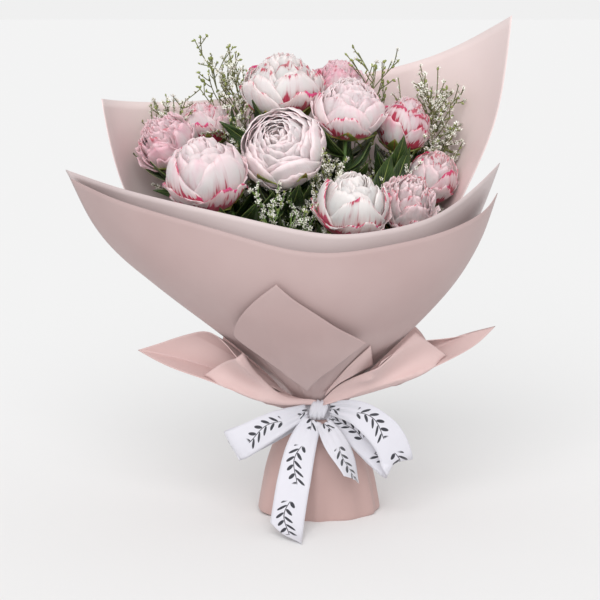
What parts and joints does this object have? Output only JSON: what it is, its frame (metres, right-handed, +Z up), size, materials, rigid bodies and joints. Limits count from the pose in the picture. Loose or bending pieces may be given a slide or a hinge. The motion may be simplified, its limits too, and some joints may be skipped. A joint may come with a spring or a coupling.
{
  "type": "bunch of peonies",
  "caption": "Hand-tied bunch of peonies with filler sprays and leaves, wrapped in layered florist's paper, tied with a satin ribbon bow, standing on a flared paper-covered foot.",
  "frame": {"origin": "centre of the flat foot that the bunch stands on", "axes": "+Z up along the stems, -Y to the front where the bow and the folded flap are, +X to the front viewer's right"},
  "size_m": [0.4747, 0.3033, 0.547],
  "materials": {
    "petal": "satin petals, white to blush with crimson flecks",
    "stem": "smooth green stem",
    "leaf": "dark green leaf, slightly glossy, paler veins",
    "filler": "fine green and brown twigs with tiny white flowers",
    "paper": "matte dusty-rose waterproof florist's paper",
    "inner_paper": "translucent frosted rose sheet",
    "ribbon": null,
    "twine": "natural jute"
  },
  "bodies": {
    "root": {"bloom_back": "petal", "bloom_back_left": "petal", "bloom_centre": "petal", "bloom_centre_right": "petal", "bloom_far_left": "petal", "bloom_front": "petal", "bloom_front_left": "petal", "bloom_front_right": "petal", "bloom_rear": "petal", "bloom_right": "petal", "bloom_right_back": "petal", "bloom_top": "petal", "leaf_far_left": "leaf", "leaf_front_low": "leaf", "leaf_front_pair_left": "leaf", "leaf_front_pair_right": "leaf", "leaf_left_upright": "leaf", "leaf_middle": "leaf", "leaf_rear": "leaf", "leaf_right_broad": "leaf", "leaf_right_slim": "leaf", "leaf_under_top": "leaf", "paper_back_collar": "paper", "paper_back_sheet": "paper", "paper_front_flap": "paper", "paper_front_inner": "inner_paper", "paper_front_outer": "paper", "paper_sleeve": "paper", "paper_wing_left": "paper", "paper_wing_right": "paper", "ribbon_band": "ribbon", "ribbon_knot": "ribbon", "ribbon_loop_left": "ribbon", "ribbon_loop_right": "ribbon", "ribbon_tail_left": "ribbon", "ribbon_tail_right": "ribbon", "spray_far_left": "filler", "spray_front_left": "filler", "spray_front_middle": "filler", "spray_left_mid": "filler", "spray_left_tall": "filler", "spray_middle": "filler", "spray_right_low": "filler", "spray_right_mid": "filler", "spray_right_tall": "filler", "stem_back": "stem", "stem_back_left": "stem", "stem_binding": "twine", "stem_centre": "stem", "stem_centre_right": "stem", "stem_far_left": "stem", "stem_front": "stem", "stem_front_left": "stem", "stem_front_right": "stem", "stem_rear": "stem", "stem_right": "stem", "stem_right_back": "stem", "stem_top": "stem"}
  },
  "joints": []
}
